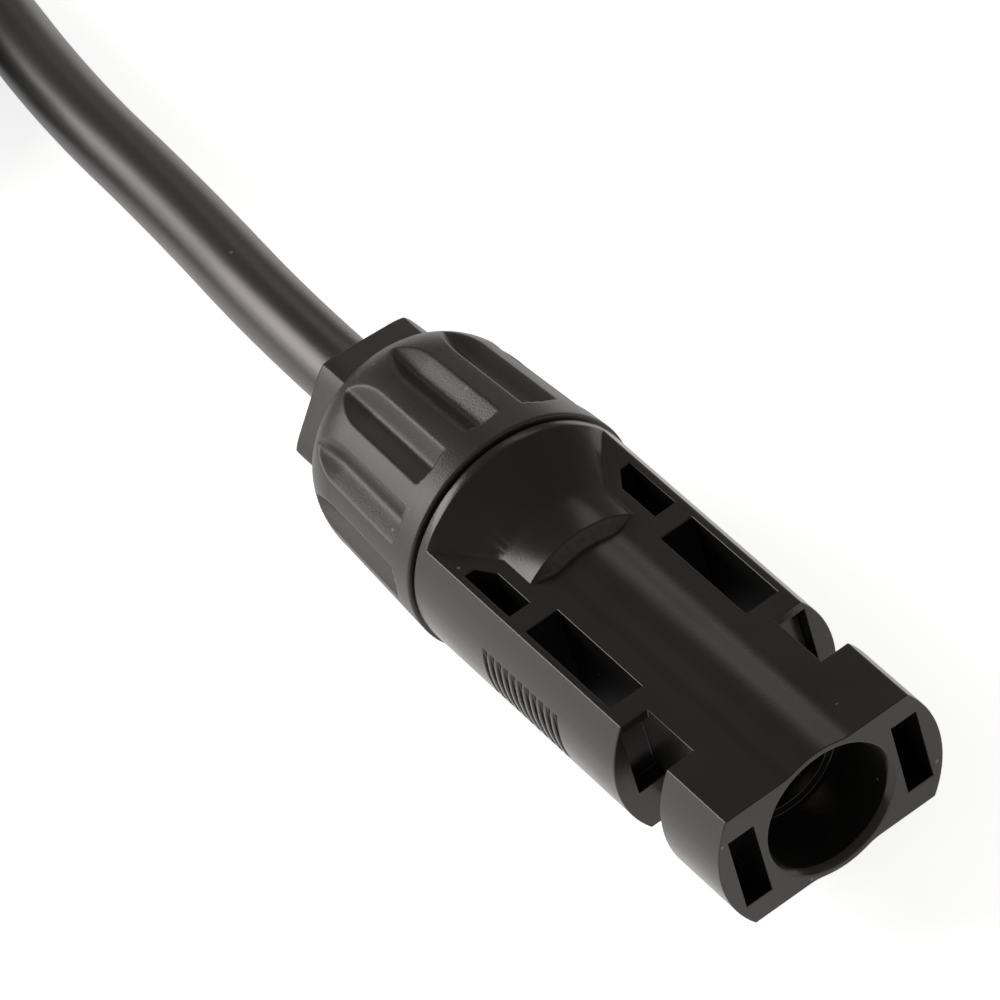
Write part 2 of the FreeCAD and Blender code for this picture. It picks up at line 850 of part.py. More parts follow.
doc.recompute()
for item in doc.Objects:
    if "Invalid" in item.State or "Error" in item.State:
        raise RuntimeError(f"{item.Label} did not compute: {item.State}")
os.makedirs("parts", exist_ok=True)
for node in nodes:
    if node.Shape.isNull() or not node.Shape.isValid():
        raise RuntimeError(f"{node.Label} has no valid shape")
    if len(node.Shape.Solids) != 1:
        raise RuntimeError(f"{node.Label} has {len(node.Shape.Solids)} solids")
    node.Shape.exportStep(f"parts/{node.Label}.step")
    box = node.Shape.BoundBox
    print(
        f"{node.Label}: volume {node.Shape.Volume:.1f} mm3, "
        f"x {box.XMin:.2f} to {box.XMax:.2f}, z {box.ZMin:.2f} to {box.ZMax:.2f}"
    )
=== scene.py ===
import math

import bmesh
import bpy
import numpy as np
from mathutils import Matrix, Vector


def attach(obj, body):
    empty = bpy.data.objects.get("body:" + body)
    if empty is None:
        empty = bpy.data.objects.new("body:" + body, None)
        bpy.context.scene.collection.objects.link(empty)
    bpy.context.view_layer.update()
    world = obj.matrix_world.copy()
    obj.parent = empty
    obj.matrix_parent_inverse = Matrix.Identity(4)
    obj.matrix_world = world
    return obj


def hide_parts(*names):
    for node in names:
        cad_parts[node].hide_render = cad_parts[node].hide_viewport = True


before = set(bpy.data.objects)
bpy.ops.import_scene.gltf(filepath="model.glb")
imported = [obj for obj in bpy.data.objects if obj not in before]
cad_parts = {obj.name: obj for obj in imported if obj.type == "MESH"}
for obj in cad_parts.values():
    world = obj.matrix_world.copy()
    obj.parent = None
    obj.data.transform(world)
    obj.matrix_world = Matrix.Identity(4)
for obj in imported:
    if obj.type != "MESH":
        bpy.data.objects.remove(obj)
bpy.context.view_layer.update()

# Camera. It looks down into the mouth from one side with a long lens, and leans over so that
# the connector runs from the lower right to the upper left, where its cable leaves the view.
AIM = np.array((-0.031468, -0.002453, 0.008275))
CAMERA_AZIMUTH, CAMERA_HEIGHT, CAMERA_LEAN = np.radians((67.281, 45.351, -17.798))
CAMERA_DISTANCE = 0.5353
FOCAL_LENGTH = 288.26
SENSOR_WIDTH = 36.0

level = np.array((math.cos(CAMERA_AZIMUTH), math.sin(CAMERA_AZIMUTH), 0.0))
towards = np.array(
    (
        math.cos(CAMERA_HEIGHT) * math.sin(CAMERA_AZIMUTH),
        -math.cos(CAMERA_HEIGHT) * math.cos(CAMERA_AZIMUTH),
        math.sin(CAMERA_HEIGHT),
    )
)
upright = np.cross(towards, level)
across = math.cos(CAMERA_LEAN) * level + math.sin(CAMERA_LEAN) * upright
upward = math.cos(CAMERA_LEAN) * upright - math.sin(CAMERA_LEAN) * level
camera_data = bpy.data.cameras.new("camera")
camera_data.lens = FOCAL_LENGTH
camera_data.sensor_width = SENSOR_WIDTH
camera_data.clip_end = 20.0
camera = bpy.data.objects.new("camera", camera_data)
place = np.eye(4)
place[:3, 0], place[:3, 1], place[:3, 2] = across, upward, towards
place[:3, 3] = AIM + CAMERA_DISTANCE * towards
camera.matrix_world = Matrix(place.tolist())
bpy.context.collection.objects.link(camera)
bpy.context.scene.camera = camera


# Floor and light. A wide white table that glows by itself. Its glow carries painted shade and
# painted light. It is dimmer near the connector and brighter away from it on both sides, which
# paints a soft shade round the connector and lifts the shadows beside it. It is brighter again
# where the camera sees it directly. A strong soft box stands low on the left with a dim one
# under it, a small one at the back, and a faint one in front; the room is dark above, so that
# tops stay black.
FLOOR_LEVEL = -0.00935
FLOOR_HALF = 4.0
# Floor glow: the even base, the painted light away from the connector, and the extra painted light
# that only the camera sees.
FLOOR_GLOW, FLOOR_PAINTED_LIGHT_ASIDE, FLOOR_PAINTED_LIGHT_SEEN = 0.64, 1.25, 1.22
FLOOR_GLOW_NEAR, FLOOR_GLOW_FAR = 0.02, 0.052
LAMP_TINT = (1.0, 0.975, 0.95)
LIGHTS = {
    "left_box": ((-0.65, -0.60, 0.46), 1.0, (0.78, 0.45), 6.1),
    "left_low_box": ((-0.65, -0.72, 0.14), 1.0, (0.8, 0.25), 2.1),
    "back_box": ((-0.65, 0.52, 0.55), 1.2, (0.5, 0.32), 0.9),
    "front_box": ((0.85, 0.30, 0.34), 1.3, (1.5, 0.7), 0.3),
}


def new_material(name):
    """A material whose tree holds only its shader and output, with that tree and shader."""
    material = bpy.data.materials.new(name)
    material.use_nodes = True
    tree = material.node_tree
    tree.nodes.clear()
    output = tree.nodes.new("ShaderNodeOutputMaterial")
    shader = tree.nodes.new("ShaderNodeBsdfPrincipled")
    tree.links.new(shader.outputs["BSDF"], output.inputs["Surface"])
    return material, tree, shader


floor_mesh = bpy.data.meshes.new("floor")
floor_corners = [
    (x * FLOOR_HALF, y * FLOOR_HALF, FLOOR_LEVEL) for x, y in ((-1, -1), (1, -1), (1, 1), (-1, 1))
]
floor_mesh.from_pydata(floor_corners, [], [(0, 1, 2, 3)])
floor = bpy.data.objects.new("floor", floor_mesh)
bpy.context.collection.objects.link(floor)
table_white, table_tree, table_shader = new_material("table_white")
table_shader.inputs["Base Color"].default_value = (0.86, 0.86, 0.86, 1.0)
table_shader.inputs["Roughness"].default_value = 0.9
table_shader.inputs["Emission Strength"].default_value = FLOOR_GLOW
# Painted shade and light on the floor: the emission colour rises from dim near the connector to
# brighter away from it on both sides, and is raised again for camera rays only.
table_place = table_tree.nodes.new("ShaderNodeTexCoord")
table_split = table_tree.nodes.new("ShaderNodeSeparateXYZ")
table_painted_shade = table_tree.nodes.new("ShaderNodeMapRange")
table_painted_shade.interpolation_type = "SMOOTHSTEP"
table_painted_shade.inputs["From Min"].default_value = FLOOR_GLOW_NEAR
table_painted_shade.inputs["From Max"].default_value = FLOOR_GLOW_FAR
table_painted_shade.inputs["To Min"].default_value = 1.0
table_painted_shade.inputs["To Max"].default_value = FLOOR_PAINTED_LIGHT_ASIDE
table_aside = table_tree.nodes.new("ShaderNodeMath")
table_aside.operation = "ABSOLUTE"
table_path = table_tree.nodes.new("ShaderNodeLightPath")
table_seen_painted_light = table_tree.nodes.new("ShaderNodeMapRange")
table_seen_painted_light.inputs["To Min"].default_value = 1.0
table_seen_painted_light.inputs["To Max"].default_value = FLOOR_PAINTED_LIGHT_SEEN
table_bright = table_tree.nodes.new("ShaderNodeMath")
table_bright.operation = "MULTIPLY"
table_tree.links.new(table_place.outputs["Object"], table_split.inputs["Vector"])
table_tree.links.new(table_split.outputs["Y"], table_aside.inputs[0])
table_tree.links.new(table_aside.outputs["Value"], table_painted_shade.inputs["Value"])
table_tree.links.new(table_path.outputs["Is Camera Ray"], table_seen_painted_light.inputs["Value"])
table_tree.links.new(table_painted_shade.outputs["Result"], table_bright.inputs[0])
table_tree.links.new(table_seen_painted_light.outputs["Result"], table_bright.inputs[1])
table_tree.links.new(table_bright.outputs["Value"], table_shader.inputs["Emission Color"])
floor_mesh.materials.append(table_white)


def soft_light(name, towards_light, distance, size, brightness):
    """A rectangular lamp, at a distance along a direction from the connector, facing it. Its
    power is its brightness times pi times its area."""
    lamp = bpy.data.lights.new(name, "AREA")
    lamp.shape = "RECTANGLE"
    lamp.size, lamp.size_y = size
    lamp.energy = brightness * math.pi * size[0] * size[1]
    lamp.color = LAMP_TINT
    holder = bpy.data.objects.new(name, lamp)
    direction = Vector(towards_light).normalized()
    turn = direction.to_track_quat("Z", "Y").to_matrix().to_4x4()
    holder.matrix_world = Matrix.Translation(Vector(AIM) + direction * distance) @ turn
    bpy.context.collection.objects.link(holder)


for light_name, light in LIGHTS.items():
    soft_light(light_name, *light)

room = bpy.data.worlds.new("room")
room.use_nodes = True
bpy.context.scene.world = room
room_tree = room.node_tree
room_tree.nodes.clear()
room_output = room_tree.nodes.new("ShaderNodeOutputWorld")
room_mix = room_tree.nodes.new("ShaderNodeMixShader")
room_dim = room_tree.nodes.new("ShaderNodeBackground")
room_pale = room_tree.nodes.new("ShaderNodeBackground")
room_path = room_tree.nodes.new("ShaderNodeLightPath")
room_dim.inputs["Color"].default_value = (0.213, 0.21, 0.206, 1.0)
room_pale.inputs["Color"].default_value = (0.93, 0.93, 0.94, 1.0)
room_tree.links.new(room_path.outputs["Is Camera Ray"], room_mix.inputs["Fac"])
room_tree.links.new(room_dim.outputs["Background"], room_mix.inputs[1])
room_tree.links.new(room_pale.outputs["Background"], room_mix.inputs[2])
room_tree.links.new(room_mix.outputs["Shader"], room_output.inputs["Surface"])
bpy.context.scene.view_settings.view_transform = "Standard"


# Cable. One length of single-core solar cable with an extruded black jacket. It leaves the
# gland straight, sinks to the table, and its spare length is wound into a neat tied coil.
CABLE_DIAMETER = 0.0055
CABLE_STEPS, CABLE_SIDES = 10, 28
CABLE_ROUTE = [
    (-0.0539, 0.0, 0.0),
    (-0.0635, -0.00015, 0.0),
    (-0.082, 0.00176, -0.00195),
    (-0.1, 0.00293, -0.004),
    (-0.119, 0.0062, -0.0066),
    (-0.1355, 0.00675, -0.0055),
]
TAIL_ROUTE = [
    (-0.1355, -0.05375, 0.0),
    (-0.1185, -0.0536, -0.0014),
    (-0.1015, -0.0514, -0.0063),
    (-0.0875, -0.0466, -0.0065),
]
COIL_CENTRE = (-0.1355, -0.0235)
OUTER_TURN, INNER_TURN = 0.03025, 0.02475
LOW_LAYER, HIGH_LAYER = -0.0055, 0.0
COIL_TURNS = 3.5
POINTS_PER_TURN = 16
CHANGE_OVER = 0.16


def coil_points():
    """The coil's turns: out and low, in and low, in and high, out and high, each changing to
    the next over a short stretch, and all turning to the left as seen from above."""
    points = []
    stand_out = 1 / math.cos(math.pi / POINTS_PER_TURN)
    radii = (OUTER_TURN, INNER_TURN, INNER_TURN, OUTER_TURN)
    layers = (LOW_LAYER, LOW_LAYER, HIGH_LAYER, HIGH_LAYER)
    for k in range(1, int(COIL_TURNS * POINTS_PER_TURN)):
        turn = k / POINTS_PER_TURN
        now = min(int(turn + CHANGE_OVER / 2), 3)
        before = max(now - 1, 0)
        share = min(max((turn + CHANGE_OVER / 2 - now) / CHANGE_OVER, 0.0), 1.0)
        radius = (radii[before] + (radii[now] - radii[before]) * share) * stand_out
        layer = layers[before] + (layers[now] - layers[before]) * share
        angle = math.pi / 2 + 2 * math.pi * turn
        points.append(
            (
                COIL_CENTRE[0] + radius * math.cos(angle),
                COIL_CENTRE[1] + radius * math.sin(angle),
                layer,
            )
        )
    return points


def smooth_line(points, steps):
    """A line drawn smoothly past the points as parabolas from middle to middle of the legs:
    (1 - t)^2 start + 2 t (1 - t) corner + t^2 end, starting and ending on the end points."""
    points = np.array(points)
    middles = (points[:-1] + points[1:]) / 2
    middles[0], middles[-1] = points[0], points[-1]
    t = (np.arange(steps) / steps)[None, :, None]
    start, corner, end = middles[:-1, None], points[1:-1, None], middles[1:, None]
    line = (1 - t) ** 2 * start + 2 * t * (1 - t) * corner + t**2 * end
    return np.vstack((line.reshape(-1, 3), points[-1]))


def grid_mesh(name, x, y, z, close_ends=False):
    """A mesh of a grid of points, in metres, that closes on itself along its second
    direction, and along its first as well when close_ends is set."""
    rows, columns = x.shape
    mesh = bpy.data.meshes.new(name)
    mesh.vertices.add(rows * columns)
    mesh.vertices.foreach_set("co", np.stack((x, y, z), axis=-1).ravel())
    last = rows if close_ends else rows - 1
    row, column = np.meshgrid(np.arange(last), np.arange(columns), indexing="ij")
    below, beside = (row + 1) % rows, (column + 1) % columns
    corners = np.stack(
        (
            row * columns + column,
            row * columns + beside,
            below * columns + beside,
            below * columns + column,
        ),
        axis=-1,
    ).reshape(-1, 4)
    mesh.loops.add(corners.size)
    mesh.loops.foreach_set("vertex_index", corners.ravel())
    mesh.polygons.add(len(corners))
    mesh.polygons.foreach_set("loop_start", np.arange(0, corners.size, 4))
    mesh.update(calc_edges=True)
    mesh.polygons.foreach_set("use_smooth", np.ones(len(corners), bool))
    return mesh


def close_caps(mesh):
    """Closes a tube's open ends with flat faces and turns all its faces outward."""
    closed = bmesh.new()
    closed.from_mesh(mesh)
    caps = bmesh.ops.holes_fill(closed, edges=[e for e in closed.edges if e.is_boundary])
    for face in caps["faces"]:
        face.smooth = False
    bmesh.ops.recalc_face_normals(closed, faces=closed.faces)
    closed.to_mesh(mesh)
    closed.free()
    return mesh


cable_line = smooth_line(CABLE_ROUTE + coil_points() + TAIL_ROUTE, CABLE_STEPS)
cable_ahead = np.gradient(cable_line, axis=0)
cable_side = np.cross(cable_ahead, (0.0, 0.0, 1.0))
cable_side /= np.linalg.norm(cable_side, axis=1)[:, None]
cable_above = np.cross(cable_side, cable_ahead)
cable_above /= np.linalg.norm(cable_above, axis=1)[:, None]
cable_round = (np.arange(CABLE_SIDES) * 2 * math.pi / CABLE_SIDES)[None, :, None]
cable_skin = cable_line[:, None] + CABLE_DIAMETER / 2 * (
    np.cos(cable_round) * cable_side[:, None] + np.sin(cable_round) * cable_above[:, None]
)
cable_mesh = close_caps(
    grid_mesh("solar_cable", cable_skin[..., 0], cable_skin[..., 1], cable_skin[..., 2])
)
solar_cable = bpy.data.objects.new("solar_cable", cable_mesh)
bpy.context.collection.objects.link(solar_cable)
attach(solar_cable, "housing")
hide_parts("cable_run", "cable_coil", "cable_tail")


# Housing. The moulded black shell: a winged body with two flats round a barrel, slots and
# windows for the mating half's latch arms, a flange, and a threaded spigot inside the nut.
HOUSING_EDGE = 0.09
EDGE_STEPS, SHARP_EDGE = 2, 28.0
FLAT_ENOUGH, NEAR_ENOUGH = 0.8, 0.002
PARTING_HALF, PARTING_START = 0.000035, 0.0052
DUST_COLOUR = (0.12, 0.11, 0.10)
WARM_GLOSS = (1.0, 0.94, 0.915, 1.0)
# Each pocket's front, back, inner side, outer side and top, in mm from the mouth and the axis.
# The faces inside these pockets get a near-black, dull material as painted shade.
SHADED_POCKETS = [
    (-0.00001, 6.56, 5.68, 7.79, 3.21),
    (13.6, 23.35, 4.34, 7.01, 5.04),
    (25.2, 30.55, 5.26, 7.01, 5.04),
]


def rounded_copy(node, name, edge):
    """A copy of a CAD piece, its triangles merged and joined into whole faces, with a band of
    the given width in mm rolled over each sharp edge."""
    mesh = bpy.data.objects[node].data.copy()
    mesh.name = name
    shape = bmesh.new()
    shape.from_mesh(mesh)
    bmesh.ops.scale(shape, vec=(1000, 1000, 1000), verts=shape.verts)
    bmesh.ops.remove_doubles(shape, verts=shape.verts, dist=NEAR_ENOUGH)
    bmesh.ops.dissolve_limit(
        shape, angle_limit=math.radians(FLAT_ENOUGH), verts=shape.verts, edges=shape.edges
    )
    sharp = [
        e
        for e in shape.edges
        if len(e.link_faces) == 2 and e.calc_face_angle() > math.radians(SHARP_EDGE)
    ]
    bmesh.ops.bevel(
        shape,
        geom=sharp,
        offset=edge,
        offset_type="OFFSET",
        segments=EDGE_STEPS,
        profile=0.5,
        affect="EDGES",
        clamp_overlap=False,
        miter_outer="SHARP",
        miter_inner="SHARP",
    )
    bmesh.ops.scale(shape, vec=(0.001, 0.001, 0.001), verts=shape.verts)
    for face in shape.faces:
        face.smooth = True
    shape.to_mesh(mesh)
    shape.free()
    mesh.materials.clear()
    return mesh


def place_piece(name, mesh, material, body, slot, *nodes):
    """Makes an object of a finished mesh, gives it its finish and its body, and stands it in
    for the CAD pieces it replaces."""
    mesh.materials.append(material)
    piece = bpy.data.objects.new(name, mesh)
    bpy.context.collection.objects.link(piece)
    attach(piece, body)
    if nodes:
        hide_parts(*nodes)
    return piece


def flatten_shading(piece):
    """Large faces keep flat shading, and the rolled edges take up the turn between them."""
    weighted = piece.modifiers.new("even_shading", "WEIGHTED_NORMAL")
    weighted.weight = 100
    weighted.mode = "FACE_AREA"


def new_group(name, ins, outs):
    """An empty node group with float inputs (name, value) and outputs (name, kind)."""
    group = bpy.data.node_groups.new(name, "ShaderNodeTree")
    for title, value in ins:
        socket = group.interface.new_socket(title, in_out="INPUT", socket_type="NodeSocketFloat")
        socket.default_value = value
    for title, kind in outs:
        group.interface.new_socket(title, in_out="OUTPUT", socket_type=kind)
    start = group.nodes.new("NodeGroupInput")
    end = group.nodes.new("NodeGroupOutput")
    return group, start, end


def moulded_grain():
    """Spark-eroded mould grain: two sizes of noise for height, and a slow, faint mottle."""
    group, start, end = new_group(
        "moulded_grain",
        [("Grain", 2200.0), ("Mottle", 160.0)],
        [("Height", "NodeSocketFloat"), ("Mottle", "NodeSocketFloat")],
    )
    place = group.nodes.new("ShaderNodeTexCoord")
    grain = group.nodes.new("ShaderNodeTexNoise")
    grain.inputs["Detail"].default_value = 2.0
    grain.inputs["Roughness"].default_value = 0.6
    mottle = group.nodes.new("ShaderNodeTexNoise")
    mottle.inputs["Detail"].default_value = 3.0
    group.links.new(place.outputs["Object"], grain.inputs["Vector"])
    group.links.new(place.outputs["Object"], mottle.inputs["Vector"])
    group.links.new(start.outputs["Grain"], grain.inputs["Scale"])
    group.links.new(start.outputs["Mottle"], mottle.inputs["Scale"])
    group.links.new(grain.outputs["Fac"], end.inputs["Height"])
    group.links.new(mottle.outputs["Fac"], end.inputs["Mottle"])
    return group


def dust_specks():
    """Sparse pale specks of dust: the centres of a few random cells, cut to small dots."""
    group, start, end = new_group(
        "dust_specks",
        [("Cells", 700.0), ("Size", 0.1), ("Share", 0.06)],
        [("Mask", "NodeSocketFloat")],
    )
    place = group.nodes.new("ShaderNodeTexCoord")
    cells = group.nodes.new("ShaderNodeTexVoronoi")
    cells.inputs["Randomness"].default_value = 1.0
    near = group.nodes.new("ShaderNodeMath")
    near.operation = "LESS_THAN"
    chosen = group.nodes.new("ShaderNodeMath")
    chosen.operation = "LESS_THAN"
    split = group.nodes.new("ShaderNodeSeparateColor")
    both = group.nodes.new("ShaderNodeMath")
    both.operation = "MULTIPLY"
    group.links.new(place.outputs["Object"], cells.inputs["Vector"])
    group.links.new(start.outputs["Cells"], cells.inputs["Scale"])
    group.links.new(cells.outputs["Distance"], near.inputs[0])
    group.links.new(start.outputs["Size"], near.inputs[1])
    group.links.new(cells.outputs["Color"], split.inputs["Color"])
    group.links.new(split.outputs["Red"], chosen.inputs[0])
    group.links.new(start.outputs["Share"], chosen.inputs[1])
    group.links.new(near.outputs["Value"], both.inputs[0])
    group.links.new(chosen.outputs["Value"], both.inputs[1])
    group.links.new(both.outputs["Value"], end.inputs["Mask"])
    return group


GRAIN, DUST = moulded_grain(), dust_specks()


def add_group(tree, group, **values):
    """Places a shared effect in a material's tree, with this material's own values."""
    node = tree.nodes.new("ShaderNodeGroup")
    node.node_tree = group
    for name, value in values.items():
        node.inputs[name].default_value = value
    return node


def between(tree, factor, low, high):
    """Maps a 0 to 1 value onto a range."""
    ramp = tree.nodes.new("ShaderNodeMapRange")
    ramp.inputs["To Min"].default_value = low
    ramp.inputs["To Max"].default_value = high
    tree.links.new(factor, ramp.inputs["Value"])
    return ramp.outputs["Result"]


def blend_colours(tree, factor, low, high):
    """Blends two colours, each a tuple or another node's output."""
    mix = tree.nodes.new("ShaderNodeMix")
    mix.data_type = "RGBA"
    tree.links.new(factor, mix.inputs["Factor"])
    for colour, socket in ((low, mix.inputs[6]), (high, mix.inputs[7])):
        if isinstance(colour, tuple):
            socket.default_value = (*colour, 1.0)
        else:
            tree.links.new(colour, socket)
    return mix.outputs[2]


def bump(tree, height, distance, strength, under=None):
    """Relief from a height, in metres, laid over any relief that is given as under."""
    node = tree.nodes.new("ShaderNodeBump")
    node.inputs["Strength"].default_value = strength
    node.inputs["Distance"].default_value = distance
    tree.links.new(height, node.inputs["Height"])
    if under is not None:
        tree.links.new(under, node.inputs["Normal"])
    return node.outputs["Normal"]


def black_plastic(name, deep, worn, gloss, grain, grain_depth, mottle=160.0):
    """Moulded black plastic: a slow mottle between two tones and two roughnesses, fine grain,
    and a few specks of dust. The last value returned is the grain's relief."""
    material, tree, shader = new_material(name)
    texture = add_group(tree, GRAIN, Grain=grain, Mottle=mottle)
    specks = add_group(tree, DUST)
    tone = blend_colours(tree, texture.outputs["Mottle"], deep, worn)
    dusty = blend_colours(tree, specks.outputs["Mask"], tone, DUST_COLOUR)
    tree.links.new(dusty, shader.inputs["Base Color"])
    tree.links.new(between(tree, texture.outputs["Mottle"], *gloss), shader.inputs["Roughness"])
    shader.inputs["Specular Tint"].default_value = WARM_GLOSS
    relief = bump(tree, texture.outputs["Height"], grain_depth, 1.0)
    tree.links.new(relief, shader.inputs["Normal"])
    return material, tree, shader, relief


housing_plastic, housing_tree, housing_shader, housing_relief = black_plastic(
    "housing_plastic",
    (0.011, 0.0105, 0.0098),
    (0.016, 0.0152, 0.0142),
    (0.16, 0.3),
    6500.0,
    0.000008,
)


def parting_line(tree, shader, relief, colour_from):
    """The fine witness line that the mould's two halves leave round the wings at mid height,
    where both |y| is past the barrel and |z| is next to nothing."""
    place = tree.nodes.new("ShaderNodeTexCoord")
    split = tree.nodes.new("ShaderNodeSeparateXYZ")
    tree.links.new(place.outputs["Object"], split.inputs["Vector"])
    tests = []
    wing, middle = ("Y", "GREATER_THAN", PARTING_START), ("Z", "LESS_THAN", PARTING_HALF)
    for axis, test, limit in (wing, middle):
        size_of = tree.nodes.new("ShaderNodeMath")
        size_of.operation = "ABSOLUTE"
        check = tree.nodes.new("ShaderNodeMath")
        check.operation = test
        check.inputs[1].default_value = limit
        tree.links.new(split.outputs[axis], size_of.inputs[0])
        tree.links.new(size_of.outputs["Value"], check.inputs[0])
        tests.append(check.outputs["Value"])
    both = tree.nodes.new("ShaderNodeMath")
    both.operation = "MULTIPLY"
    tree.links.new(tests[0], both.inputs[0])
    tree.links.new(tests[1], both.inputs[1])
    line = both.outputs["Value"]
    lined = blend_colours(tree, line, colour_from, (0.003, 0.003, 0.003))
    tree.links.new(lined, shader.inputs["Base Color"])
    tree.links.new(bump(tree, line, -0.00003, 0.8, relief), shader.inputs["Normal"])


parting_line(
    housing_tree,
    housing_shader,
    housing_relief,
    housing_shader.inputs["Base Color"].links[0].from_socket,
)
# Painted shade: the faces deep inside the slots, windows and notch get a near-black, barely glossy
# material, so that they read as shadow.
pocket_painted_shade, _, pocket_shade_shader, _ = black_plastic(
    "pocket_painted_shade", (0.003, 0.003, 0.003), (0.006, 0.0057, 0.0055), (0.55, 0.75), 2600.0, 0.000004
)
pocket_shade_shader.inputs["Specular IOR Level"].default_value = 0.06
housing_mesh = rounded_copy("housing", "connector_housing", HOUSING_EDGE)
connector_housing = place_piece(
    "connector_housing", housing_mesh, housing_plastic, "housing", "housing_plastic", "housing"
)
housing_mesh.materials.append(pocket_painted_shade)
face_middle = np.empty(3 * len(housing_mesh.polygons))
housing_mesh.polygons.foreach_get("center", face_middle)
face_depth, face_side, face_height = np.abs(1000 * face_middle.reshape(-1, 3)).T
in_shaded_pocket = np.zeros(len(face_depth), bool)
for pocket_front, pocket_end, pocket_inner, pocket_outer, pocket_top in SHADED_POCKETS:
    in_shaded_pocket |= (
        (face_depth > pocket_front + 0.02)
        & (face_depth < pocket_end)
        & (face_side > pocket_inner)
        & (face_side < pocket_outer)
        & (face_height < pocket_top)
    )
housing_mesh.polygons.foreach_set("material_index", in_shaded_pocket.astype(np.int32))
flatten_shading(connector_housing)


# Gland nut. A moulded sleeve nut with twelve flutes, a lip at its front, a domed shoulder and
# a six-sided rear end for a spanner. It screws onto the spigot and squeezes the collet.
NUT_FRONT, NUT_BACK = 35.4, 53.2
LAND_FRONT_RADIUS, LAND_BACK_RADIUS = 9.33, 8.74
SHOULDER_FRONT, SHOULDER_BACK, SHOULDER_RADIUS = 45.8, 50.7, 5.9
FLUTES, FLUTE_FRONT, FLUTE_BACK, FLUTE_DEPTH = 12, 37.4, 48.7, 0.95
FLUTE_PITCH = 360 // FLUTES
FLUTE_ROUNDING, FLUTE_TOP_HALF = 2.6, 9.6
FLUTE_MIDDLE = 26.0
FLUTE_RUN_IN, FLUTE_RUN_OUT = 0.35, 3.2
HEX_ACROSS_FLATS, HEX_CORNER, HEX_TURN = 12.12, 6.92, 55.0
HEX_FRONT, HEX_BLEND, HEX_EDGE = 47.0, 0.5, 0.14
CABLE_HOLE, CONE_SMALL, CONE_LARGE, THREAD_HOLE = 3.1, 3.7, 5.75, 6.85
STEPS_PER_FLUTE = 48


def soft_min(a, b, width):
    """The smaller of two surfaces, blended over a width where they cross."""
    share = np.clip(0.5 + 0.5 * (b - a) / width, 0.0, 1.0)
    return b + (a - b) * share - width * share * (1.0 - share)


def soft_max(a, b, width):
    """The larger of two surfaces, blended in the same way."""
    return -soft_min(-a, -b, width)


def along_profile(stations, spacing):
    """Points along a run of (depth, radius) stations, no further apart than the spacing."""
    stations = np.array(stations, float)
    steps = np.linalg.norm(np.diff(stations, axis=0), axis=1)
    counts = np.maximum(np.ceil(steps / spacing).astype(int), 1)
    parts = [
        np.linspace(a, b, n, endpoint=False) for a, b, n in zip(stations, stations[1:], counts)
    ]
    return np.vstack(parts + [stations[-1:]])


def quarter(start, end, count):
    """A quarter ellipse from start to end, leaving start along the axis: depth by sine and
    radius by cosine of the same angle."""
    angle = np.linspace(0, math.pi / 2, count)
    depth = start[0] + (end[0] - start[0]) * np.sin(angle)
    radius = end[1] + (start[1] - end[1]) * np.cos(angle)
    return list(zip(depth, radius))


nut_outside = (
    [(NUT_FRONT, LAND_FRONT_RADIUS - 0.12), (NUT_FRONT + 0.03, LAND_FRONT_RADIUS - 0.04)]
    + [(NUT_FRONT + 0.12, LAND_FRONT_RADIUS)]
    + quarter((SHOULDER_FRONT, LAND_BACK_RADIUS), (SHOULDER_BACK, SHOULDER_RADIUS), 28)
    + [(NUT_BACK - 0.12, SHOULDER_RADIUS), (NUT_BACK - 0.03, SHOULDER_RADIUS - 0.04)]
)
outside = along_profile(nut_outside, 0.17)
nut_end = [(NUT_BACK, SHOULDER_RADIUS - 0.15), (NUT_BACK, 3.3), (NUT_BACK - 0.1, 3.14)]
nut_inside = [
    (NUT_BACK - 0.3, CABLE_HOLE),
    (51.6, CABLE_HOLE),
    (51.6, CONE_SMALL),
    (48.6, CONE_LARGE),
    (46.9, CONE_LARGE),
    (46.9, THREAD_HOLE),
    (NUT_FRONT + 0.3, THREAD_HOLE),
    (NUT_FRONT, THREAD_HOLE + 0.25),
]
turn = np.radians(np.arange(FLUTES * STEPS_PER_FLUTE) * 360 / (FLUTES * STEPS_PER_FLUTE))
depth, land = outside[:, :1], outside[:, 1:]
# A flute's floor lies below the land by its depth, and rises as a rounded vee to its sides.
from_flute = (np.degrees(turn) - FLUTE_MIDDLE + FLUTE_PITCH / 2) % FLUTE_PITCH - FLUTE_PITCH / 2
valley = np.sqrt(from_flute**2 + FLUTE_ROUNDING**2) - FLUTE_ROUNDING
valley /= math.hypot(FLUTE_TOP_HALF, FLUTE_ROUNDING) - FLUTE_ROUNDING
front_end = np.maximum((FLUTE_FRONT + 0.3 - depth) / FLUTE_RUN_IN, 0.0)
back_end = np.clip((depth - FLUTE_BACK + FLUTE_RUN_OUT) / FLUTE_RUN_OUT, 0.0, 1.2) ** 2
flute = land - FLUTE_DEPTH * (1 - valley[None, :] - front_end - back_end)
fluted = soft_min(land + 0 * flute, flute, 0.1)
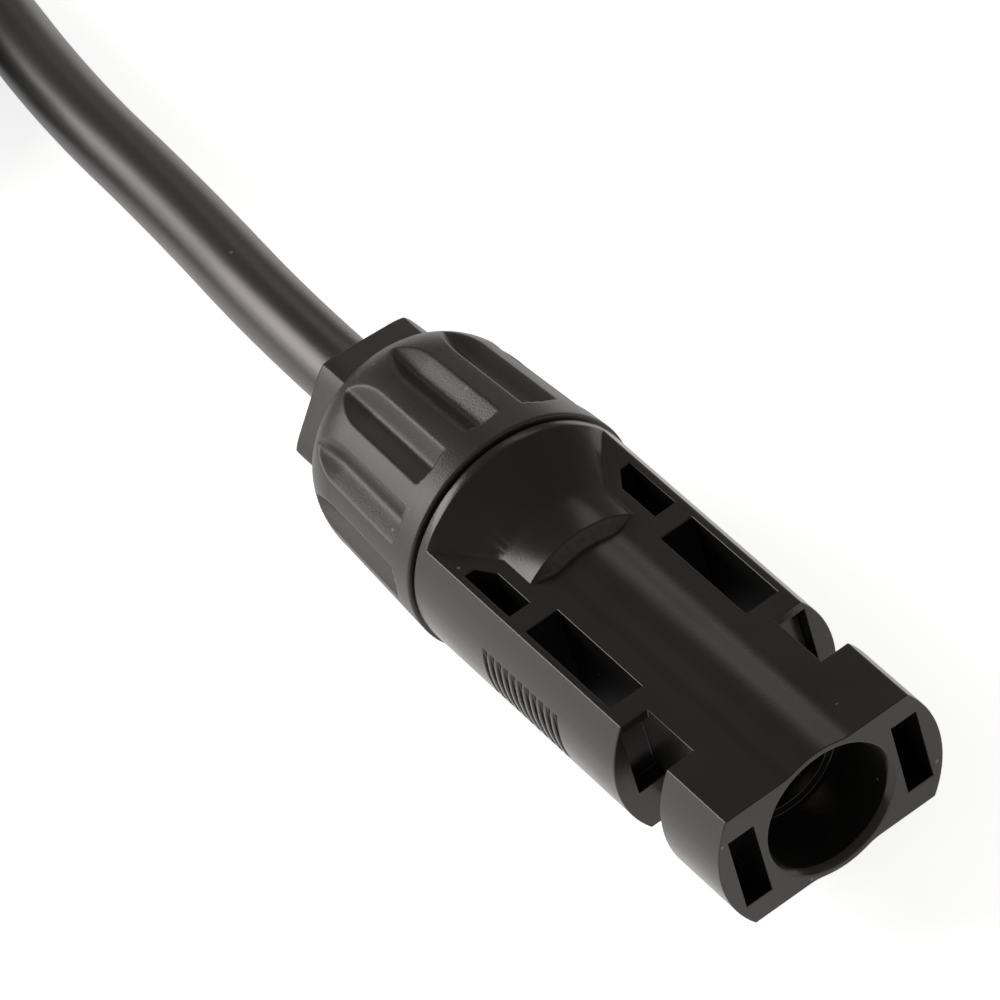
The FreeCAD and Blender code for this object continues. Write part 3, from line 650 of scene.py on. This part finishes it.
# The six-sided end stands out of the shoulder, its corners turned down and its rim rounded.
from_flat = (np.degrees(turn) - HEX_TURN) % 60 - 30
hexagon = HEX_ACROSS_FLATS / 2 / np.cos(np.radians(from_flat))
hexagon = soft_min(hexagon, HEX_CORNER, 0.5)[None, :]
rear_drop = np.clip((depth - (NUT_BACK - HEX_EDGE)) / HEX_EDGE, 0.0, 1.0) ** 2 * HEX_EDGE
behind = np.clip((depth - HEX_FRONT) / HEX_BLEND, 0.0, 1.0)
hexed = soft_max(fluted, hexagon - rear_drop, 0.12)
radius = fluted + (hexed - fluted) * behind
ring = np.ones_like(turn)[None, :]
rest = along_profile(nut_end + nut_inside, 1.5)
rest_radius = rest[:, 1:] * ring
rest_radius[0] = radius[-1] - 0.15
nut_depth = np.vstack((depth * ring, rest[:, :1] * ring))
nut_radius = np.vstack((radius, rest_radius))
nut_mesh = grid_mesh(
    "sleeve_nut",
    -0.001 * nut_depth,
    0.001 * nut_radius * np.cos(turn),
    0.001 * nut_radius * np.sin(turn),
    close_ends=True,
)
nut_plastic = black_plastic(
    "nut_plastic", (0.017, 0.0165, 0.0155), (0.027, 0.026, 0.0245), (0.32, 0.44), 8000.0, 0.00002
)[0]
sleeve_nut = place_piece("sleeve_nut", nut_mesh, nut_plastic, "nut", "nut_plastic", "gland_nut")


# Clamping collet. A moulded ring with eight sprung fingers behind it. The nut's cone pushes
# the fingers' tips in round the seal, so it moves back with the nut.
COLLET_EDGE = 0.08
collet_plastic = black_plastic(
    "collet_plastic", (0.05, 0.05, 0.052), (0.07, 0.07, 0.072), (0.32, 0.45), 3000.0, 0.000004
)[0]
gland_collet = place_piece(
    "gland_collet",
    rounded_copy("clamping_collet", "gland_collet", COLLET_EDGE),
    collet_plastic,
    "collet",
    "collet_plastic",
    "clamping_collet",
)
flatten_shading(gland_collet)


# Gland seal. A soft rubber sleeve with grooves round it, pressed between the collet's fingers
# and the cable's jacket.
SEAL_FRONT, SEAL_LENGTH = 38.7, 8.7
SEAL_INNER, SEAL_GROOVE, SEAL_OUTER = 2.76, 3.5, 3.84
SEAL_GROOVES, SEAL_RIB, SEAL_EDGE = 3, 1.2, 0.16
TURNED_STEPS = 96


def rolled(profile, edge):
    """A closed run of (depth, radius) corners with each corner cut back by a distance and
    replaced by a short curve of three points; corners on the axis stay as they are."""
    corners = [np.array(p, float) for p in profile]
    befores, afters = corners[-1:] + corners[:-1], corners[1:] + corners[:1]
    points = []
    for before, corner, after in zip(befores, corners, afters):
        into, away = corner - before, after - corner
        reach = min(edge, 0.45 * np.linalg.norm(into), 0.45 * np.linalg.norm(away))
        if corner[1] < 1e-6 or reach < 1e-6:
            points.append(corner)
            continue
        start = corner - into / np.linalg.norm(into) * reach
        end = corner + away / np.linalg.norm(away) * reach
        points += [start, 0.25 * start + 0.5 * corner + 0.25 * end, end]
    return np.array(points)


def turned_mesh(name, profile, base=(0.0, 0.0, 0.0), axis=(-1.0, 0.0, 0.0), shape=None):
    """A closed (distance, radius) profile in mm turned about an axis from a base in metres.
    shape(distance, radius, angle), where given, changes the radius round the piece."""
    angle = np.arange(TURNED_STEPS) * 2 * math.pi / TURNED_STEPS
    ring = np.ones_like(angle)[None, :]
    distance, radius = profile[:, :1] * ring, profile[:, 1:] * ring
    if shape is not None:
        radius = shape(distance, radius, angle[None, :])
    along = np.array(axis) / np.linalg.norm(axis)
    sideways = np.cross(along, (0.0, 0.0, 1.0))
    sideways /= np.linalg.norm(sideways)
    above = np.cross(along, sideways)
    where = (
        np.array(base)
        + 0.001 * distance[..., None] * along
        + 0.001 * (radius * np.cos(angle))[..., None] * sideways
        + 0.001 * (radius * np.sin(angle))[..., None] * above
    )
    mesh = grid_mesh(name, where[..., 0], where[..., 1], where[..., 2], close_ends=True)
    cleaned = bmesh.new()
    cleaned.from_mesh(mesh)
    bmesh.ops.remove_doubles(cleaned, verts=cleaned.verts, dist=1e-7)
    bmesh.ops.recalc_face_normals(cleaned, faces=cleaned.faces)
    cleaned.to_mesh(mesh)
    cleaned.free()
    return mesh


seal_profile = [(SEAL_FRONT, SEAL_INNER), (SEAL_FRONT, SEAL_OUTER)]
for groove in range(SEAL_GROOVES):
    ahead = SEAL_FRONT + SEAL_RIB * (2 * groove + 1)
    seal_profile += [
        (ahead, SEAL_OUTER),
        (ahead, SEAL_GROOVE),
        (ahead + SEAL_RIB, SEAL_GROOVE),
        (ahead + SEAL_RIB, SEAL_OUTER),
    ]
SEAL_BACK = SEAL_FRONT + SEAL_LENGTH
seal_profile += [(SEAL_BACK, SEAL_OUTER), (SEAL_BACK, SEAL_INNER)]
seal_rubber = black_plastic(
    "seal_rubber", (0.03, 0.03, 0.03), (0.042, 0.041, 0.04), (0.6, 0.72), 1800.0, 0.000004
)[0]
gland_grommet = place_piece(
    "gland_grommet",
    turned_mesh("gland_grommet", rolled(seal_profile, SEAL_EDGE)),
    seal_rubber,
    "housing",
    "seal_rubber",
    "gland_seal",
)
flatten_shading(gland_grommet)


# Contact. A 4 mm tin-plated copper pin, turned from bar: a round nose, a collar that stops
# against the housing, a stem for the clip, and a crimp barrel pressed to six sides.
PIN_TIP, PIN_BACK = 8.0, 20.0
PIN_RADIUS, SHANK_RADIUS, COLLAR_RADIUS, STEM_RADIUS = 2.0, 2.3, 2.8, 2.3
NOSE_LENGTH, NOSE_TIP = 1.6, 0.7
PIN_COLLAR_FRONT, PIN_COLLAR_BACK, WIRE_HOLE_END = 23.0, 24.2, 29.4
CRIMP_FRONT, CRIMP_BACK, CRIMP_RADIUS, CRIMP_INNER = 28.8, 35.0, 2.35, 1.36
CRIMP_PRESS = (30.3, 33.5)
CRIMP_FLATS = 2.04


def plated_metal(name, colour, brushed, rings):
    """Bright tin plate with fine turning rings along one axis and a faint cloudy stain."""
    material, tree, shader = new_material(name)
    place = tree.nodes.new("ShaderNodeTexCoord")
    wave = tree.nodes.new("ShaderNodeTexWave")
    wave.bands_direction = "X"
    wave.inputs["Scale"].default_value = rings
    wave.inputs["Distortion"].default_value = 1.5
    wave.inputs["Detail"].default_value = 2.0
    texture = add_group(tree, GRAIN, Grain=1500.0, Mottle=420.0)
    tree.links.new(place.outputs["Object"], wave.inputs["Vector"])
    stained = tuple(0.72 * c for c in colour)
    clouded = blend_colours(tree, texture.outputs["Mottle"], stained, colour)
    tree.links.new(clouded, shader.inputs["Base Color"])
    shader.inputs["Metallic"].default_value = 1.0
    tree.links.new(between(tree, texture.outputs["Mottle"], *brushed), shader.inputs["Roughness"])
    tree.links.new(bump(tree, wave.outputs["Fac"], 0.000002, 0.6), shader.inputs["Normal"])
    return material


def pressed_barrel(distance, radius, angle):
    """Six flats pressed into the crimp barrel, easing out at both ends."""
    front, back = CRIMP_PRESS
    ease = np.clip((distance - front) / 0.4, 0, 1) * np.clip((back - distance) / 0.4, 0, 1)
    sixth = math.pi / 3
    flats = CRIMP_FLATS / np.cos((angle + sixth / 2) % sixth - sixth / 2)
    pressed = np.minimum(radius, flats)
    outer = radius > CRIMP_INNER + 0.3
    return np.where(outer, radius + (pressed - radius) * ease, radius)


nose = [
    (
        PIN_TIP + NOSE_LENGTH * (1 - math.cos(angle)),
        NOSE_TIP + (PIN_RADIUS - NOSE_TIP) * math.sin(angle),
    )
    for angle in np.linspace(0.0, math.pi / 2, 14)[1:]
]
crimp_barrel = [(CRIMP_FRONT + 0.1 + 0.2 * k, CRIMP_RADIUS) for k in range(30)]
pin_collar = [
    (PIN_COLLAR_FRONT, COLLAR_RADIUS - 0.12),
    (PIN_COLLAR_FRONT + 0.12, COLLAR_RADIUS),
    (PIN_COLLAR_BACK - 0.12, COLLAR_RADIUS),
    (PIN_COLLAR_BACK, COLLAR_RADIUS - 0.12),
    (PIN_COLLAR_BACK, STEM_RADIUS),
]
crimp_mouth = [
    (CRIMP_BACK - 0.05, CRIMP_RADIUS),
    (CRIMP_BACK, CRIMP_RADIUS - 0.1),
    (CRIMP_BACK, CRIMP_INNER + 0.15),
    (CRIMP_BACK - 0.25, CRIMP_INNER),
    (WIRE_HOLE_END, CRIMP_INNER),
]
contact_profile = (
    [(WIRE_HOLE_END, 0.0), (PIN_TIP, 0.0), (PIN_TIP, NOSE_TIP - 0.25), (PIN_TIP + 0.05, NOSE_TIP)]
    + nose
    + [(PIN_BACK - 0.05, PIN_RADIUS), (PIN_BACK, SHANK_RADIUS)]
    + [(PIN_COLLAR_FRONT - 0.05, SHANK_RADIUS)]
    + pin_collar
    + [(CRIMP_FRONT, STEM_RADIUS)]
    + crimp_barrel
    + crimp_mouth
)
tin_plate = plated_metal("tin_plate", (0.80, 0.78, 0.74), (0.16, 0.3), 1800.0)
turned_contact = place_piece(
    "turned_contact",
    turned_mesh("turned_contact", np.array(contact_profile), shape=pressed_barrel),
    tin_plate,
    "housing",
    "contact_metal",
    "contact_pin",
)
flatten_shading(turned_contact)


# Retaining clip. A sprung steel ring on the contact's stem, whose three fingers flare out
# behind the housing's ledge and keep the contact from being pushed forward.
CLIP_EDGE = 0.04
spring_steel = plated_metal("spring_steel", (0.56, 0.56, 0.57), (0.22, 0.36), 900.0)
contact_clip = place_piece(
    "contact_clip",
    rounded_copy("retaining_clip", "contact_clip", CLIP_EDGE),
    spring_steel,
    "housing",
    "clip_steel",
    "retaining_clip",
)
flatten_shading(contact_clip)


# The cable's stripped end inside the connector. Twisted tinned strands go into the crimp
# barrel, then the pale core insulation starts, then the black jacket, cut square.
STRAND_FRONT, CORE_FRONT, JACKET_FRONT, CABLE_LEAVES = 29.5, 35.4, 36.4, 53.9
STRANDS_ROUND, STRANDS_RADIUS, STRAND_LAY = 16, 1.3, 22.0
CORE_INNER, CORE_RADIUS = 1.33, 1.75
JACKET_INNER, JACKET_RADIUS = 1.78, 2.75


def twisted(distance, radius, angle):
    """A scalloped outline of round strands, turning once in each lay length."""
    lobes = np.abs(np.sin(0.5 * STRANDS_ROUND * (angle + 2 * math.pi * distance / STRAND_LAY)))
    return np.where(radius > 0.5, radius * (0.9 + 0.1 * np.sqrt(lobes)), radius)


def straight_run(front, back, inner, outer, spacing):
    """The closed profile of a tube, or of a rod when its inner radius is zero, with stations
    along its outside at a spacing."""
    stations = np.arange(front + 0.1, back - 0.05, spacing)
    outside = [(front, outer - 0.08)] + [(d, outer) for d in stations] + [(back, outer - 0.02)]
    return np.array([(back, inner), (front, inner)] + outside)


strand_metal = plated_metal("strand_metal", (0.74, 0.68, 0.61), (0.28, 0.42), 1200.0)
cable_strands = place_piece(
    "cable_strands",
    turned_mesh(
        "cable_strands",
        straight_run(STRAND_FRONT, CABLE_LEAVES, 0.0, STRANDS_RADIUS, 0.4),
        shape=twisted,
    ),
    strand_metal,
    "housing",
    "copper",
    "conductor_strands",
)


def pale_insulation(name):
    """Natural cross-linked insulation: warm white, slightly waxy, with a soft mottle."""
    material, tree, shader = new_material(name)
    texture = add_group(tree, GRAIN, Grain=1400.0, Mottle=300.0)
    tone = blend_colours(tree, texture.outputs["Mottle"], (0.70, 0.66, 0.57), (0.82, 0.79, 0.71))
    tree.links.new(tone, shader.inputs["Base Color"])
    tree.links.new(between(tree, texture.outputs["Mottle"], 0.34, 0.46), shader.inputs["Roughness"])
    tree.links.new(bump(tree, texture.outputs["Height"], 0.000002, 1.0), shader.inputs["Normal"])
    shader.inputs["Subsurface Weight"].default_value = 0.15
    shader.inputs["Subsurface Radius"].default_value = (0.0006, 0.0005, 0.0004)
    return material


core_white = pale_insulation("core_white")
core_sleeve = place_piece(
    "core_sleeve",
    turned_mesh(
        "core_sleeve", straight_run(CORE_FRONT, CABLE_LEAVES, CORE_INNER, CORE_RADIUS, 2.0)
    ),
    core_white,
    "housing",
    "core_insulation",
    "core_insulation",
)
cable_jacket, _, jacket_shader, _ = black_plastic(
    "cable_jacket",
    (0.013, 0.013, 0.0135),
    (0.02, 0.02, 0.0205),
    (0.3, 0.4),
    2400.0,
    0.000005,
    mottle=90.0,
)
jacket_shader.inputs["Specular IOR Level"].default_value = 0.85
cable_mesh.materials.append(cable_jacket)
jacket_sleeve = place_piece(
    "jacket_sleeve",
    turned_mesh(
        "jacket_sleeve", straight_run(JACKET_FRONT, CABLE_LEAVES, JACKET_INNER, JACKET_RADIUS, 2.0)
    ),
    cable_jacket,
    "housing",
    "cable_jacket",
    "cable_jacket_end",
)


# Coil ties. Three lengths of hook-and-loop tape, each wrapped round the three or four turns of
# cable at its place and pressed down on itself from the inner side to the top.
TIE_HALF_WIDTH, TIE_THICK, TIE_CLEAR = 2.2, 0.92, 0.1
TIE_TURNS, CLIMB_START, CLIMB_LENGTH = 1.26, 0.93, 0.07
TIE_ROWS, TIE_ROUND, BEND_POINTS = 150, 16, 17
BUNDLE_MIDDLE = (27.5, -2.75)
INNER_HIGH, OUTER_HIGH = (-JACKET_RADIUS, JACKET_RADIUS), (JACKET_RADIUS, JACKET_RADIUS)
INNER_LOW, OUTER_LOW = (-JACKET_RADIUS, -JACKET_RADIUS), (JACKET_RADIUS, -JACKET_RADIUS)
TIES = [
    (35.0, (INNER_HIGH, OUTER_LOW, INNER_LOW)),
    (155.0, (INNER_HIGH, OUTER_HIGH, OUTER_LOW, INNER_LOW)),
    (240.0, (INNER_HIGH, OUTER_HIGH, OUTER_LOW, INNER_LOW)),
]


def round_strands(strands, share, away):
    """A belt drawn tight round strands, from the middle of the side before the first: at a
    share of its length it is strand + (radius + away) * outward, where outward turns evenly
    round each strand and the belt is straight between them."""
    centres = np.array(strands)
    legs = np.roll(centres, -1, axis=0) - centres
    facing = np.arctan2(legs[:, 1], legs[:, 0]) + math.pi / 2
    turned = (np.roll(facing, 1) - facing) % (2 * math.pi)
    bend = np.linspace(0.0, 1.0, BEND_POINTS)
    outward = np.roll(facing, 1)[:, None] - turned[:, None] * bend
    belt = centres[:, None] + JACKET_RADIUS * np.stack((np.cos(outward), np.sin(outward)), axis=-1)
    belt = belt.reshape(-1, 2)
    middle = (belt[:1] + belt[-1:]) / 2
    belt = np.vstack((middle, belt, middle))
    outward = np.unwrap(np.concatenate((facing[-1:], outward.ravel(), facing[-1:])))
    reached = np.append(0.0, np.cumsum(np.linalg.norm(np.diff(belt, axis=0), axis=1)))
    run = (share % 1.0) * reached[-1]
    direction = np.interp(run, reached, outward)
    return (
        np.interp(run, reached, belt[:, 0]) + away * np.cos(direction),
        np.interp(run, reached, belt[:, 1]) + away * np.sin(direction),
    )


def tie_mesh(name, place_angle, strands):
    """A flat band carried round the bundle for a turn and a quarter, the last part lying on
    the first; the band's section is a thin rectangle with round edges."""
    share = np.linspace(0.0, TIE_TURNS, TIE_ROWS)[:, None]
    climb = np.clip((share - CLIMB_START) / CLIMB_LENGTH, 0.0, 1.0)
    lift = TIE_CLEAR + TIE_THICK / 2 + climb * climb * (3 - 2 * climb) * (TIE_THICK + 0.02)
    section = np.arange(TIE_ROUND) * 2 * math.pi / TIE_ROUND
    wide = np.sign(np.cos(section)) * np.abs(np.cos(section)) ** 0.35 * TIE_HALF_WIDTH
    thick = np.sign(np.sin(section)) * np.abs(np.sin(section)) ** 0.6 * TIE_THICK / 2
    out, up = round_strands(strands, share, lift + thick[None, :])
    radial = BUNDLE_MIDDLE[0] + out
    height = BUNDLE_MIDDLE[1] + up
    sideways = wide[None, :] + 0 * share
    turn_to = math.radians(place_angle)
    x = COIL_CENTRE[0] + 0.001 * (radial * math.cos(turn_to) - sideways * math.sin(turn_to))
    y = COIL_CENTRE[1] + 0.001 * (radial * math.sin(turn_to) + sideways * math.cos(turn_to))
    return close_caps(grid_mesh(name, x, y, 0.001 * height))


def woven_tape(name):
    """Black nylon tape: a fuzz of small loops over a fine uneven ground."""
    material, tree, shader = new_material(name)
    place = tree.nodes.new("ShaderNodeTexCoord")
    loops = tree.nodes.new("ShaderNodeTexVoronoi")
    loops.inputs["Scale"].default_value = 2600.0
    tree.links.new(place.outputs["Object"], loops.inputs["Vector"])
    texture = add_group(tree, GRAIN, Grain=900.0, Mottle=260.0)
    far = loops.outputs["Distance"]
    tone = blend_colours(tree, far, (0.012, 0.012, 0.013), (0.045, 0.045, 0.048))
    tree.links.new(tone, shader.inputs["Base Color"])
    shader.inputs["Roughness"].default_value = 0.85
    shader.inputs["Sheen Weight"].default_value = 0.35
    under = bump(tree, texture.outputs["Height"], 0.00003, 0.6)
    tree.links.new(bump(tree, far, 0.00006, 0.8, under), shader.inputs["Normal"])
    return material


tie_tape = woven_tape("tie_tape")
cable_ties = [
    place_piece(
        f"cable_tie_{number}",
        tie_mesh(f"cable_tie_{number}", tie_angle, tie_strands),
        tie_tape,
        "housing",
        "tie_fabric",
        f"coil_tie_{number}",
    )
    for number, (tie_angle, tie_strands) in enumerate(TIES, start=1)
]


# The cable's free end. A short length of bared core, then a crimped bootlace ferrule: a grey
# plastic collar with a flared mouth, and a tin-plated sleeve pressed with small teeth.
TAIL_END = np.array(TAIL_ROUTE[-1])
TAIL_AXIS = TAIL_END - np.array(TAIL_ROUTE[-2])
BARE_CORE, COLLAR_LENGTH, SLEEVE_LENGTH = 4.0, 6.0, 10.0
COLLAR_MOUTH, COLLAR_HOLE = 1.77, 1.3
FERRULE_RADIUS, TOOTH_PITCH, TOOTH_DEPTH = 1.45, 1.4, 0.22
bare_core = place_piece(
    "bare_core",
    turned_mesh(
        "bare_core",
        straight_run(-0.4, BARE_CORE + 0.5, 0.0, CORE_RADIUS, 1.0),
        TAIL_END,
        TAIL_AXIS,
    ),
    core_white,
    "housing",
    "core_insulation",
    "end_core",
)


def collar_grey(name):
    """Grey moulded nylon with a faint mottle."""
    material, tree, shader = new_material(name)
    texture = add_group(tree, GRAIN, Grain=1500.0, Mottle=250.0)
    mottle = texture.outputs["Mottle"]
    tone = blend_colours(tree, mottle, (0.20, 0.205, 0.215), (0.27, 0.275, 0.285))
    tree.links.new(tone, shader.inputs["Base Color"])
    tree.links.new(between(tree, mottle, 0.3, 0.42), shader.inputs["Roughness"])
    tree.links.new(bump(tree, texture.outputs["Height"], 0.000003, 1.0), shader.inputs["Normal"])
    return material


collar_profile = [
    (BARE_CORE, COLLAR_MOUTH),
    (BARE_CORE, 2.6),
    (BARE_CORE + 2.2, 2.52),
    (BARE_CORE + 4.6, 2.05),
    (BARE_CORE + COLLAR_LENGTH, 1.95),
    (BARE_CORE + COLLAR_LENGTH, COLLAR_HOLE),
    (BARE_CORE + 1.0, COLLAR_HOLE),
    (BARE_CORE + 0.6, COLLAR_MOUTH),
]
ferrule_cuff = place_piece(
    "ferrule_cuff",
    turned_mesh("ferrule_cuff", rolled(collar_profile, 0.25), TAIL_END, TAIL_AXIS),
    collar_grey("collar_grey"),
    "housing",
    "ferrule_plastic",
    "ferrule_collar",
)


def toothed(distance, radius, angle):
    """Two rows of shallow crimp teeth pressed into opposite sides of the sleeve: the depth is
    a cosine along it, times another round it, and eases in near both ends."""
    start = BARE_CORE + COLLAR_LENGTH
    rows = 0.5 + 0.5 * np.cos(2 * math.pi * (distance - start) / TOOTH_PITCH)
    ease_in = np.clip((distance - start - 1.2) / 0.5, 0, 1)
    ease_out = np.clip((start + 9.0 - distance) / 0.5, 0, 1)
    sides = np.maximum(np.cos(2 * angle), 0.0)
    depth = TOOTH_DEPTH * rows * (ease_in * ease_out) * sides
    return np.where(radius > 0.6, radius - depth, radius)


sleeve_stations = BARE_CORE + COLLAR_LENGTH + np.arange(-0.5, SLEEVE_LENGTH - 0.2, 0.14)
sleeve_profile = np.array(
    [(sleeve_stations[-1] + 0.2, 0.0), (sleeve_stations[0], 0.0)]
    + [(d, FERRULE_RADIUS) for d in sleeve_stations]
    + [(sleeve_stations[-1] + 0.2, FERRULE_RADIUS - 0.18)]
)
crimped_ferrule = place_piece(
    "crimped_ferrule",
    turned_mesh("crimped_ferrule", sleeve_profile, TAIL_END, TAIL_AXIS, shape=toothed),
    tin_plate,
    "housing",
    "ferrule_metal",
    "ferrule_sleeve",
)
